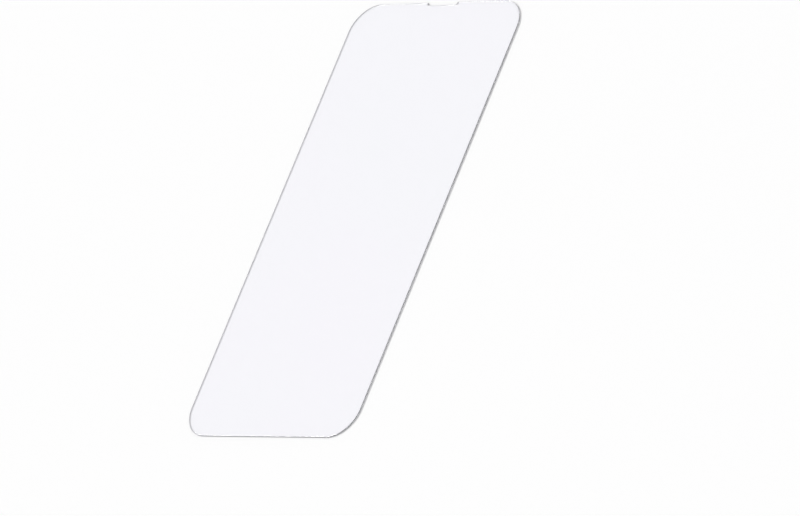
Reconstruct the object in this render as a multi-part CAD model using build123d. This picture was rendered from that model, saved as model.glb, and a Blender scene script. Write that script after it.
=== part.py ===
from build123d import *
import os

# Screen protector: one sheet of tempered glass with a ground rim, and a shallow notch in its top
# edge that keeps the earpiece open. All sizes are in millimetres.
# The origin is the centre of the under face, which carries the adhesive. Seen from the front,
# +X runs to the right, +Y runs up to the notch and +Z points out of the glass.

# Driving dimensions of the sheet
SHEET_WIDTH = 67.5
SHEET_LENGTH = 142.5
SHEET_THICKNESS = 0.5  # the glass together with its bonded adhesive film
CORNER_RADIUS = 9.2  # of the four corners, in plan

# Driving dimensions of the earpiece notch
NOTCH_WIDTH = 11.7
NOTCH_DEPTH = 0.9
NOTCH_FLOOR_RADIUS = 0.35  # where the ends of the notch meet its floor
NOTCH_END_FLAT = 0.1  # least straight run on each end, between its two roundings
NOTCH_MOUTH_EASE = 0.1  # by how much the mouth's radius exceeds the rounding of the front rim

# Driving dimensions of the ground rim
RIM_LAND = 0.25  # upright band between the front rounding and the rear bevel
REAR_BEVEL = 0.05  # seams the under edge at 45 degrees

# The front rounding takes what the land and the rear bevel leave of the thickness, and the
# notch's mouth is wide enough in plan for that rounding to run through it.
FRONT_ROUND = SHEET_THICKNESS - RIM_LAND - REAR_BEVEL
NOTCH_MOUTH_RADIUS = FRONT_ROUND + NOTCH_MOUTH_EASE


def sheet_outline() -> Sketch:
    """Draws the sheet in plan: a rounded rectangle with the earpiece notch in its top edge."""
    top_edge = SHEET_LENGTH / 2
    floor_room = NOTCH_DEPTH - NOTCH_MOUTH_RADIUS - NOTCH_END_FLAT
    with BuildSketch() as outline:
        RectangleRounded(SHEET_WIDTH, SHEET_LENGTH, CORNER_RADIUS)
        with Locations((0, top_edge)):
            Rectangle(NOTCH_WIDTH, 2 * NOTCH_DEPTH, mode=Mode.SUBTRACT)
        *_, on_notch_floor, on_top_edge = outline.vertices().group_by(Axis.Y)
        mouth_corners = on_top_edge.sort_by(Axis.X)[1:-1]
        fillet(mouth_corners, NOTCH_MOUTH_RADIUS)
        floor_corners = [outline.vertices().sort_by_distance(corner)[0] for corner in on_notch_floor]
        fillet(floor_corners, min(NOTCH_FLOOR_RADIUS, floor_room))
    return outline.sketch


def glass_sheet() -> Part:
    """Cuts the sheet from flat glass and grinds its rim, through the notch as well."""
    with BuildPart() as sheet:
        add(sheet_outline())
        extrude(amount=SHEET_THICKNESS)
        front_face = sheet.faces().sort_by(Axis.Z)[-1]
        fillet(front_face.outer_wire().edges(), FRONT_ROUND)
        under_face = sheet.faces().sort_by(Axis.Z)[0]
        chamfer(under_face.outer_wire().edges(), REAR_BEVEL)
    return sheet.part


os.makedirs("parts", exist_ok=True)
export_step(glass_sheet(), "parts/glass_sheet.step")
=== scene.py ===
"""Dresses a screen protector: one clear glass sheet with a fine-ground rim.

The sheet lies with its front face up, as it comes to rest. Lengths are in metres and angles in degrees.
"""
import logging
import math
from dataclasses import dataclass, fields
from enum import Enum
from typing import Any, ClassVar

import bpy
from mathutils import Matrix, Vector


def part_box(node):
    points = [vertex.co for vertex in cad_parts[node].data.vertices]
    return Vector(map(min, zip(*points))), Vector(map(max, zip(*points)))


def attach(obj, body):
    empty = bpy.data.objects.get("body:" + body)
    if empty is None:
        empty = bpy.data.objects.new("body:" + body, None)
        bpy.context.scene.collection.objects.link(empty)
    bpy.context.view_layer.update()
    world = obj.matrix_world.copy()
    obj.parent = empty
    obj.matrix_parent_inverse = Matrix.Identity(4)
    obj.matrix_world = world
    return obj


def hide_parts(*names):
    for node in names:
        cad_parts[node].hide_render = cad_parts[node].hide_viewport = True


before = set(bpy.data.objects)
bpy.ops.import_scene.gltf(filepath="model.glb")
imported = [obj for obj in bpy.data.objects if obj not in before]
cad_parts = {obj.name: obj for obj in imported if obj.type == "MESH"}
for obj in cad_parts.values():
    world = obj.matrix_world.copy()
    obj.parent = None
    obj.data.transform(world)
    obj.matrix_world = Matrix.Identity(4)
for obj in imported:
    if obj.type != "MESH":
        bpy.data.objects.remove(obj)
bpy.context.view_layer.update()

LOG = logging.getLogger("screen_protector")

MM = 0.001
MICRON = 0.000001

Triple = tuple[float, float, float]
Colour = tuple[float, float, float, float]
Socket = bpy.types.NodeSocket


class Surface(Enum):
    """The two kinds of surface that the maker leaves on the glass."""

    POLISHED_FACE = "Polished Face"
    GROUND_RIM = "Ground Rim"


Finishes = dict[Surface, bpy.types.Material]


class Graph:
    """Adds nodes to one node tree, and sets or links their inputs."""

    NOISE_LOW: ClassVar[float] = 0.3
    NOISE_HIGH: ClassVar[float] = 0.7

    def __init__(self, tree: bpy.types.NodeTree) -> None:
        """Takes over the node tree of a material, a world or a geometry modifier, and empties it."""
        self.tree = tree
        tree.nodes.clear()

    def add(self, kind: str, inputs: dict[str | int, Any] | None = None, **settings: Any) -> bpy.types.Node:
        """Adds one node.

        Args:
            kind: The node's type, as Blender names it.
            inputs: What goes into its sockets, by name or number: a value, or another node's output.
            **settings: The node's own properties.

        Returns:
            The new node.
        """
        node = self.tree.nodes.new(kind)
        for name, value in settings.items():
            setattr(node, name, value)
        for key, value in (inputs or {}).items():
            self.feed(node.inputs[key], value)
        return node

    def feed(self, socket: Socket, value: Any) -> None:
        """Links an output to a socket, or sets the socket to a plain value.

        Args:
            socket: The input to feed.
            value: An output socket, or a value of the kind that the input holds.
        """
        if isinstance(value, Socket):
            self.tree.links.new(value, socket)
        else:
            socket.default_value = value

    def math(self, operation: str, *values: Any) -> Socket:
        """Adds a Math node on numbers or output sockets, and returns its result."""
        return self.add("ShaderNodeMath", dict(enumerate(values)), operation=operation).outputs["Value"]

    def pick(self, index: Socket, choices: list[Any], data_type: str = "FLOAT") -> Socket:
        """Adds an Index Switch, which picks one of several values by number.

        Args:
            index: The number of the choice, counted from 0.
            choices: The values to pick from, each a number or an output socket.
            data_type: The kind of value, as Blender names it.

        Returns:
            The value that was picked.
        """
        node = self.add("GeometryNodeIndexSwitch", data_type=data_type)
        while len(node.index_switch_items) < len(choices):
            node.index_switch_items.new()
        self.feed(node.inputs["Index"], index)
        for number, choice in enumerate(choices):
            self.feed(node.inputs[str(number)], choice)
        return node.outputs["Output"]

    def noise(self, scale: float, density: Triple = (1, 1, 1), detail: float = 2) -> Socket:
        """Adds a noise pattern on the piece's own coordinates.

        Args:
            scale: How many blotches there are to a metre.
            density: How many times more there are along each axis.
            detail: How many finer octaves are added.

        Returns:
            The pattern's value, from 0 to 1.
        """
        place = self.add("ShaderNodeTexCoord").outputs["Object"]
        mapped = self.add("ShaderNodeMapping", {"Vector": place, "Scale": density})
        pattern = {"Vector": mapped.outputs["Vector"], "Scale": scale, "Detail": detail}
        return self.add("ShaderNodeTexNoise", pattern).outputs["Fac"]

    def ranged(self, value: Socket, low: float, high: float) -> Socket:
        """Maps the middle of a noise pattern's range onto a range of its own.

        Args:
            value: The pattern's value.
            low: What the pattern's dark parts become.
            high: What its light parts become.

        Returns:
            The mapped value.
        """
        limits = {
            "Value": value,
            "From Min": self.NOISE_LOW,
            "From Max": self.NOISE_HIGH,
            "To Min": low,
            "To Max": high,
        }
        return self.add("ShaderNodeMapRange", limits).outputs["Result"]

    def blended(self, factor: Socket, dark: Colour, pale: Colour) -> Socket:
        """Mixes two colours by a pattern.

        Args:
            factor: The pattern's value, from 0 to 1.
            dark: The colour where the pattern is 0.
            pale: The colour where it is 1.

        Returns:
            The mixed colour.
        """
        node = self.add("ShaderNodeMix", {"Factor": factor}, data_type="RGBA")
        first, second = (socket for socket in node.inputs if socket.type == "RGBA")
        self.feed(first, dark)
        self.feed(second, pale)
        return next(socket for socket in node.outputs if socket.type == "RGBA")

    def lit_through(self, surface: Socket, tint: Colour) -> Socket:
        """Lets the light that falls on what lies behind a glass surface pass it unbent.

        Args:
            surface: The shader that is seen.
            tint: The colour that the passing light takes on.

        Returns:
            The shader that is seen and lets light pass.
        """
        passing = self.add("ShaderNodeBsdfTransparent", {"Color": tint}).outputs["BSDF"]
        light_path = self.add("ShaderNodeLightPath").outputs
        for ray in ("Is Shadow Ray", "Is Diffuse Ray"):
            mixed = self.add("ShaderNodeMixShader", {0: light_path[ray], 1: surface, 2: passing})
            surface = mixed.outputs["Shader"]
        return surface


def new_material(name: str) -> tuple[bpy.types.Material, Graph]:
    """Makes an empty node material.

    Args:
        name: The material's name.

    Returns:
        The material, and the graph that its nodes go into.
    """
    material = bpy.data.materials.new(name)
    material.use_nodes = True
    return material, Graph(material.node_tree)


@dataclass(frozen=True)
class PolishedGlass:
    """Clear tempered glass, polished over its faces and the brow of its rim, with a grease-shedding coat."""

    cool_tint: Colour = (0.962, 0.966, 0.992, 1)
    violet_tint: Colour = (0.968, 0.958, 0.996, 1)
    shade_tint: Colour = (0.987, 0.987, 0.991, 1)
    tint_patches: float = 12
    refraction: float = 1.5
    clean_roughness: float = 0.0
    wiped_roughness: float = 0.02
    wiped_patches: float = 45
    ripple_waves: float = 30
    ripple_height: float = 5 * MICRON

    def material(self) -> bpy.types.Material:
        """Makes the glass, which lets lamp light through to what lies under it.

        Returns:
            The finished material.
        """
        material, graph = new_material("polished_glass")
        coating = graph.ranged(graph.noise(self.tint_patches), 0, 1)
        roughness = graph.ranged(graph.noise(self.wiped_patches), self.clean_roughness, self.wiped_roughness)
        ripple = graph.add(
            "ShaderNodeBump",
            {"Strength": 1.0, "Distance": self.ripple_height, "Height": graph.noise(self.ripple_waves)},
        )
        glass = graph.add(
            "ShaderNodeBsdfPrincipled",
            {
                "Base Color": graph.blended(coating, self.cool_tint, self.violet_tint),
                "Roughness": roughness,
                "IOR": self.refraction,
                "Transmission Weight": 1.0,
                "Normal": ripple.outputs["Normal"],
            },
        )
        surface = graph.lit_through(glass.outputs["BSDF"], self.shade_tint)
        graph.add("ShaderNodeOutputMaterial", {"Surface": surface})
        return material


@dataclass(frozen=True)
class GroundGlass:
    """The rim's wall as the grinding wheel leaves it: frosted grey, with faint lines along the edge."""

    pale: Colour = (0.60, 0.60, 0.62, 1)
    dark: Colour = (0.50, 0.50, 0.52, 1)
    shade_tint: Colour = (0.32, 0.32, 0.33, 1)
    refraction: float = 1.5
    clearness: float = 0.25
    fine_roughness: float = 0.38
    coarse_roughness: float = 0.55
    wheel_lines: float = 60
    wheel_density: Triple = (1, 1, 160)
    wheel_detail: float = 4
    grit: float = 14000
    grit_depth: float = 2 * MICRON
    relief_share: float = 0.5

    def material(self) -> bpy.types.Material:
        """Makes the frosted wall.

        Returns:
            The finished material.
        """
        material, graph = new_material("ground_glass")
        lines = graph.noise(self.wheel_lines, self.wheel_density, self.wheel_detail)
        grit = graph.noise(self.grit)
        relief = graph.math("MULTIPLY", graph.math("ADD", lines, grit), self.relief_share)
        bump = graph.add("ShaderNodeBump", {"Strength": 1.0, "Distance": self.grit_depth, "Height": relief})
        rim = graph.add(
            "ShaderNodeBsdfPrincipled",
            {
                "Base Color": graph.blended(lines, self.dark, self.pale),
                "Roughness": graph.ranged(grit, self.fine_roughness, self.coarse_roughness),
                "IOR": self.refraction,
                "Transmission Weight": self.clearness,
                "Normal": bump.outputs["Normal"],
            },
        )
        surface = graph.lit_through(rim.outputs["BSDF"], self.shade_tint)
        graph.add("ShaderNodeOutputMaterial", {"Surface": surface})
        return material


@dataclass(frozen=True)
class PaleFloor:
    """A matt white studio floor."""

    pale: Colour = (0.992, 0.992, 0.992, 1)
    dark: Colour = (0.984, 0.984, 0.985, 1)
    roughness: float = 0.9
    shine: float = 0.0
    mottle: float = 3

    def material(self) -> bpy.types.Material:
        """Makes the floor's paint.

        Returns:
            The finished material.
        """
        material, graph = new_material("floor_paint")
        colour = graph.blended(graph.noise(self.mottle), self.dark, self.pale)
        paint = graph.add(
            "ShaderNodeBsdfPrincipled",
            {"Base Color": colour, "Roughness": self.roughness, "Specular IOR Level": self.shine},
        )
        graph.add("ShaderNodeOutputMaterial", {"Surface": paint.outputs["BSDF"]})
        return material


@dataclass(frozen=True)
class SheetSizes:
    """The sheet's outline in plan and the section through its rim."""

    width: float
    length: float
    thickness: float
    corner_radius: float = 9.2 * MM
    notch_width: float = 11.7 * MM
    notch_depth: float = 0.9 * MM
    notch_mouth_radius: float = 0.3 * MM
    notch_floor_radius: float = 0.35 * MM
    front_round: float = 0.2 * MM
    rear_bevel: float = 0.05 * MM
    level_margin: float = 0.1 * MM
    weld_distance: float = 1 * MICRON


@dataclass(frozen=True)
class SheetSteps:
    """How finely the sheet's round stretches are divided."""

    corner_steps: int = 40
    notch_steps: int = 10
    round_steps: int = 10


class SheetTree:
    """The Geometry Nodes tree that sweeps the rim's section round the outline and closes both faces."""

    OUTLINE_POINTS: ClassVar[int] = 8
    SECTION_POINTS: ClassVar[int] = 5
    POLISH_REACH: ClassVar[float] = 41.4
    SHARP_ANGLE: ClassVar[float] = 30.0
    OPEN_EDGE_FACES: ClassVar[float] = 1.0
    COUNT_TOLERANCE: ClassVar[float] = 0.5

    def __init__(self, sizes: SheetSizes, steps: SheetSteps, finishes: Finishes) -> None:
        """Builds the tree.

        Args:
            sizes: Lengths that become named inputs of the tree.
            steps: Counts that become named inputs of the tree.
            finishes: The material of each kind of surface, also named inputs.
        """
        self.input_values: dict[str, Any] = {}
        self.tree = bpy.data.node_groups.new("glass_sheet_tree", "GeometryNodeTree")
        for group, kind in ((sizes, "NodeSocketFloat"), (steps, "NodeSocketInt")):
            for item in fields(group):
                self.name_input(item.name.replace("_", " ").title(), kind, getattr(group, item.name))
        for surface, material in finishes.items():
            self.name_input(surface.value, "NodeSocketMaterial", material)
        self.tree.interface.new_socket(name="Sheet", in_out="OUTPUT", socket_type="NodeSocketGeometry")
        self.graph = Graph(self.tree)
        self.inputs = self.graph.add("NodeGroupInput").outputs
        self.assemble()

    def name_input(self, name: str, kind: str, value: Any) -> None:
        """Adds a named input of a socket type, and keeps the value that the modifier will give it."""
        socket = self.tree.interface.new_socket(name=name, in_out="INPUT", socket_type=kind)
        self.input_values[socket.identifier] = value

    def share(self, name: str, factor: float = 0.5) -> Socket:
        """Half of a named input, or another share of it."""
        return self.graph.math("MULTIPLY", self.inputs[name], factor)

    def shaped(self, points: Socket, x: Socket, y: Socket, radius: Socket, count: Socket) -> Socket:
        """Moves a curve's points to the corners of a shape, and rounds those corners.

        Args:
            points: A curve with as many points as the shape has corners.
            x: Each corner's place along X.
            y: Each corner's place along Y.
            radius: Each corner's radius, or 0 where it stays sharp.
            count: How many steps each round corner has.

        Returns:
            The finished curve.
        """
        corner = self.graph.add("ShaderNodeCombineXYZ", {"X": x, "Y": y}).outputs["Vector"]
        moved = self.graph.add("GeometryNodeSetPosition", {"Geometry": points, "Position": corner})
        rounding = {"Curve": moved.outputs["Geometry"], "Radius": radius, "Count": count}
        return self.graph.add("GeometryNodeFilletCurve", rounding, mode="POLY").outputs["Curve"]

    def outline(self) -> Socket:
        """Draws the sheet in plan, anticlockwise from its lower right corner, with the notch in its top edge.

        Returns:
            The closed outline, with its normals pointing outwards.
        """
        graph, inputs = self.graph, self.inputs
        index = graph.add("GeometryNodeInputIndex").outputs["Index"]
        from_end = graph.math("SUBTRACT", self.OUTLINE_POINTS - 1, index)
        corner = graph.math("MINIMUM", index, from_end)
        side = graph.math("SIGN", graph.math("SUBTRACT", from_end, index))
        right, notch_right = self.share("Width"), self.share("Notch Width")
        top, bottom = self.share("Length"), self.share("Length", -0.5)
        notch_floor = graph.math("SUBTRACT", top, inputs["Notch Depth"])
        radius, mouth = inputs["Corner Radius"], inputs["Notch Mouth Radius"]
        points = graph.add("GeometryNodeCurvePrimitiveCircle", {"Resolution": self.OUTLINE_POINTS})
        curve = self.shaped(
            points.outputs["Curve"],
            x=graph.math("MULTIPLY", side, graph.pick(corner, [right, right, notch_right, notch_right])),
            y=graph.pick(corner, [bottom, top, top, notch_floor]),
            radius=graph.pick(corner, [radius, radius, mouth, inputs["Notch Floor Radius"]]),
            count=graph.pick(corner, [inputs["Corner Steps"]] * 2 + [inputs["Notch Steps"]] * 2, "INT"),
        )
        upright = graph.add("GeometryNodeSetCurveNormal", {"Curve": curve}, mode="Z_UP")
        return upright.outputs["Curve"]

    def section(self) -> Socket:
        """Draws the section through the rim, from the front face round to the under face.

        X runs outwards from the outline. Y runs downwards, as the sweep turns it.

        Returns:
            The open section.
        """
        graph, inputs = self.graph, self.inputs
        index = graph.add("GeometryNodeInputIndex").outputs["Index"]
        front, bevel = self.share("Thickness", -1), self.share("Rear Bevel", -1)
        front_start = graph.math("SUBTRACT", self.share("Front Round", -1), inputs["Level Margin"])
        under_end = graph.math("SUBTRACT", bevel, inputs["Level Margin"])
        line = graph.add("GeometryNodeCurvePrimitiveLine")
        points = graph.add(
            "GeometryNodeResampleCurve",
            {"Curve": line.outputs["Curve"], "Count": self.SECTION_POINTS},
            mode="COUNT",
        )
        return self.shaped(
            points.outputs["Curve"],
            x=graph.pick(index, [front_start, 0.0, 0.0, bevel, under_end]),
            y=graph.pick(index, [front, front, bevel, 0.0, 0.0]),
            radius=graph.pick(index, [0.0, inputs["Front Round"], 0.0, 0.0, 0.0]),
            count=inputs["Round Steps"],
        )

    def face(self, rim: Socket, operation: str) -> Socket:
        """Fills the open edge that the sweep leaves round one of the two faces.

        Args:
            rim: The swept rim.
            operation: How the edge's height compares with half the thickness, as Blender names it.

        Returns:
            The flat face, pointing up, at the height of the under face.
        """
        graph = self.graph
        sides = graph.add("GeometryNodeInputMeshEdgeNeighbors").outputs["Face Count"]
        place = graph.add("GeometryNodeInputPosition").outputs["Position"]
        height = graph.add("ShaderNodeSeparateXYZ", {"Vector": place}).outputs["Z"]
        on_face = graph.math(operation, height, self.share("Thickness"))
        is_open = graph.math("COMPARE", sides, self.OPEN_EDGE_FACES, self.COUNT_TOLERANCE)
        chosen = graph.math("MULTIPLY", on_face, is_open)
        loop = graph.add("GeometryNodeMeshToCurve", {"Mesh": rim, "Selection": chosen})
        filled = graph.add("GeometryNodeFillCurve", {"Curve": loop.outputs["Curve"]}, mode="NGONS")
        return filled.outputs["Mesh"]

    def smoothed(self, mesh: Socket) -> Socket:
        """Shades the rounding smooth, and keeps the bevel's edges sharp.

        Args:
            mesh: The closed sheet.

        Returns:
            The shaded sheet.
        """
        graph = self.graph
        smooth = graph.add("GeometryNodeSetShadeSmooth", {"Geometry": mesh, "Shade Smooth": True})
        angle = graph.add("GeometryNodeInputMeshEdgeAngle").outputs["Unsigned Angle"]
        is_sharp = graph.math("GREATER_THAN", angle, math.radians(self.SHARP_ANGLE))
        edges = {"Geometry": smooth.outputs["Geometry"], "Selection": is_sharp, "Shade Smooth": False}
        return graph.add("GeometryNodeSetShadeSmooth", edges, domain="EDGE").outputs["Geometry"]

    def assemble(self) -> None:
        """Sweeps the rim, closes and welds the faces, and gives each surface its finish."""
        graph, inputs = self.graph, self.inputs
        sweep = {"Curve": self.outline(), "Profile Curve": self.section()}
        rim = graph.add("GeometryNodeCurveToMesh", sweep).outputs["Mesh"]
        lift = graph.add("ShaderNodeCombineXYZ", {"Z": inputs["Thickness"]}).outputs["Vector"]
        raised = {"Geometry": self.face(rim, "GREATER_THAN"), "Offset": lift}
        front = graph.add("GeometryNodeSetPosition", raised).outputs["Geometry"]
        under = graph.add("GeometryNodeFlipFaces", {"Mesh": self.face(rim, "LESS_THAN")}).outputs["Mesh"]
        joined = graph.add("GeometryNodeJoinGeometry")
        for part in (rim, front, under):
            graph.feed(joined.inputs["Geometry"], part)
        weld = {"Geometry": joined.outputs["Geometry"], "Distance": inputs["Weld Distance"]}
        welded = graph.add("GeometryNodeMergeByDistance", weld).outputs["Geometry"]
        plain = graph.add("GeometryNodeRealizeInstances", {"Geometry": self.smoothed(welded)})
        faced = graph.add(
            "GeometryNodeSetMaterial",
            {"Geometry": plain.outputs["Geometry"], "Material": inputs[Surface.POLISHED_FACE.value]},
        )
        normal = graph.add("GeometryNodeInputNormal").outputs["Normal"]
        level = graph.math("ABSOLUTE", graph.add("ShaderNodeSeparateXYZ", {"Vector": normal}).outputs["Z"])
        dressed = graph.add(
            "GeometryNodeSetMaterial",
            {
                "Geometry": faced.outputs["Geometry"],
                "Selection": graph.math("LESS_THAN", level, math.cos(math.radians(self.POLISH_REACH))),
                "Material": inputs[Surface.GROUND_RIM.value],
            },
        )
        graph.add("NodeGroupOutput", {"Sheet": dressed.outputs["Geometry"]})


@dataclass
class ScreenProtector:
    """The protector: one glass sheet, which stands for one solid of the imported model."""

    node: str = "glass_sheet"
    body: str = "root"
    slot: str = "glass"
    piece_name: str = "protector_glass"
    steps: SheetSteps = SheetSteps()
    face_finish: PolishedGlass = PolishedGlass()
    rim_finish: GroundGlass = GroundGlass()

    def sizes(self) -> SheetSizes:
        """Takes the sheet's length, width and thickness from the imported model.

        Returns:
            All the sheet's sizes.
        """
        low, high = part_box(self.node)
        width, length, thickness = high - low
        return SheetSizes(width, length, thickness)

    def finishes(self) -> Finishes:
        """The material of each kind of surface."""
        return {
            Surface.POLISHED_FACE: self.face_finish.material(),
            Surface.GROUND_RIM: self.rim_finish.material(),
        }

    def build(self) -> bpy.types.Object:
        """Makes the sheet as a plain mesh, with its finishes on it.

        Returns:
            The sheet, in place on the floor.
        """
        sheet_tree = SheetTree(self.sizes(), self.steps, self.finishes())
        piece = bpy.data.objects.new(self.piece_name, bpy.data.meshes.new(self.piece_name))
        bpy.context.scene.collection.objects.link(piece)
        modifier = piece.modifiers.new("sheet", "NODES")
        modifier.node_group = sheet_tree.tree
        for identifier, value in sheet_tree.input_values.items():
            modifier[identifier] = value
        depsgraph = bpy.context.evaluated_depsgraph_get()
        mesh = bpy.data.meshes.new_from_object(piece.evaluated_get(depsgraph), depsgraph=depsgraph)
        piece.modifiers.remove(modifier)
        piece.data = mesh
        return piece

    def hand_over(self, piece: bpy.types.Object) -> None:
        """Hides the solid of the imported model that the sheet stands for, and attaches the sheet to the body
        that it rides on.

        Args:
            piece: The finished sheet.
        """
        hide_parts(self.node)
        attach(piece, self.body)


def towards(azimuth: float, elevation: float) -> Vector:
    """The direction from the object towards a camera or a lamp.

    Args:
        azimuth: 0 is in front of the object, at -Y, and 90 is on its right, at +X.
        elevation: The height above the horizon.

    Returns:
        A vector of length 1.
    """
    turn, rise = math.radians(azimuth), math.radians(elevation)
    return Vector((math.sin(turn) * math.cos(rise), -math.cos(turn) * math.cos(rise), math.sin(rise)))


@dataclass(frozen=True)
class Sun:
    """A soft lamp that lights the whole floor alike."""

    name: str
    azimuth: float
    elevation: float
    strength: float
    softness: float

    def build(self) -> bpy.types.Object:
        """Makes the lamp.

        Returns:
            The lamp's object.
        """
        data = bpy.data.lights.new(self.name, "SUN")
        data.energy = self.strength
        data.angle = math.radians(self.softness)
        lamp = bpy.data.objects.new(self.name, data)
        lamp.rotation_mode = "QUATERNION"
        lamp.rotation_quaternion = (-towards(self.azimuth, self.elevation)).to_track_quat("-Z", "Y")
        bpy.context.scene.collection.objects.link(lamp)
        return lamp


@dataclass(frozen=True)
class Camera:
    """A long lens that looks down on the sheet, turned about its own line of sight."""

    azimuth: float = 62.753
    elevation: float = 37.555
    roll: float = 50.262
    distance: float = 2.5070
    lens: float = 403.17
    clip_end: float = 100.0
    aim: Triple = (25.009 * MM, -13.589 * MM, 0.5 * MM)

    def build(self) -> bpy.types.Object:
        """Makes the camera and gives it to the scene.

        Returns:
            The camera's object.
        """
        data = bpy.data.cameras.new("camera")
        data.lens = self.lens
        data.clip_end = self.clip_end
        camera = bpy.data.objects.new("camera", data)
        back = towards(self.azimuth, self.elevation)
        level = (-back).to_track_quat("-Z", "Y").to_matrix().to_4x4()
        turn = Matrix.Rotation(math.radians(-self.roll), 4, "Z")
        camera.matrix_world = Matrix.Translation(Vector(self.aim) + back * self.distance) @ level @ turn
        bpy.context.scene.collection.objects.link(camera)
        bpy.context.scene.camera = camera
        return camera


@dataclass
class Studio:
    """A pale floor, soft light from all round, a soft key lamp and a weaker one across from it."""

    floor_reach: float = 20.0
    floor_gap: float = 20 * MICRON
    sky: Colour = (1.0, 1.0, 1.0, 1)
    sky_light: float = 0.3
    horizon_seen: float = 0.8
    upper_sky_seen: float = 0.95
    upper_sky_from: float = 0.5
    floor_finish: PaleFloor = PaleFloor()
    camera: Camera = Camera()
    key_lamp: Sun = Sun("key_lamp", azimuth=-88.0, elevation=45.0, strength=2.55, softness=25.0)
    fill_lamp: Sun = Sun("fill_lamp", azimuth=90.0, elevation=45.0, strength=0.56, softness=25.0)

    def build(self) -> None:
        """Makes the floor, the sky, the lamps and the camera."""
        self.lay_floor()
        self.light_sky()
        self.key_lamp.build()
        self.fill_lamp.build()
        self.camera.build()
        bpy.context.scene.view_settings.view_transform = "Standard"

    def lay_floor(self) -> None:
        """Lays the floor just under the sheet, so that the two surfaces don't lie in one plane."""
        reach = self.floor_reach
        corners = [(x * reach, y * reach, -self.floor_gap) for x, y in ((-1, -1), (1, -1), (1, 1), (-1, 1))]
        mesh = bpy.data.meshes.new("floor")
        mesh.from_pydata(corners, [], [range(len(corners))])
        mesh.materials.append(self.floor_finish.material())
        floor = bpy.data.objects.new("floor", mesh)
        bpy.context.scene.collection.objects.link(floor)

    def light_sky(self) -> None:
        """Makes the even white light from all round, and the backdrop that is seen and mirrored there."""
        world = bpy.data.worlds.new("studio")
        world.use_nodes = True
        graph = Graph(world.node_tree)
        light = graph.add("ShaderNodeBackground", {"Color": self.sky, "Strength": self.sky_light})
        direction = graph.add("ShaderNodeTexCoord").outputs["Generated"]
        height = graph.add("ShaderNodeSeparateXYZ", {"Vector": direction}).outputs["Z"]
        rise = {
            "Value": height,
            "From Max": self.upper_sky_from,
            "To Min": self.horizon_seen,
            "To Max": self.upper_sky_seen,
        }
        strength = graph.add("ShaderNodeMapRange", rise).outputs["Result"]
        seen = graph.add("ShaderNodeBackground", {"Color": self.sky, "Strength": strength})
        light_path = graph.add("ShaderNodeLightPath").outputs
        mirrored = graph.math("MAXIMUM", light_path["Is Glossy Ray"], light_path["Is Transmission Ray"])
        is_seen = graph.math("MAXIMUM", light_path["Is Camera Ray"], mirrored)
        parts = {0: is_seen, 1: light.outputs["Background"], 2: seen.outputs["Background"]}
        mixed = graph.add("ShaderNodeMixShader", parts)
        graph.add("ShaderNodeOutputWorld", {"Surface": mixed.outputs["Shader"]})
        bpy.context.scene.world = world


def main() -> None:
    """Builds the studio and the protector, and reports each piece."""
    logging.basicConfig(level=logging.INFO, format="%(name)s: %(message)s")
    Studio().build()
    protector = ScreenProtector()
    piece = protector.build()
    protector.hand_over(piece)
    LOG.info("%s: %d faces", piece.name, len(piece.data.polygons))


if __name__ == "__main__":
    main()
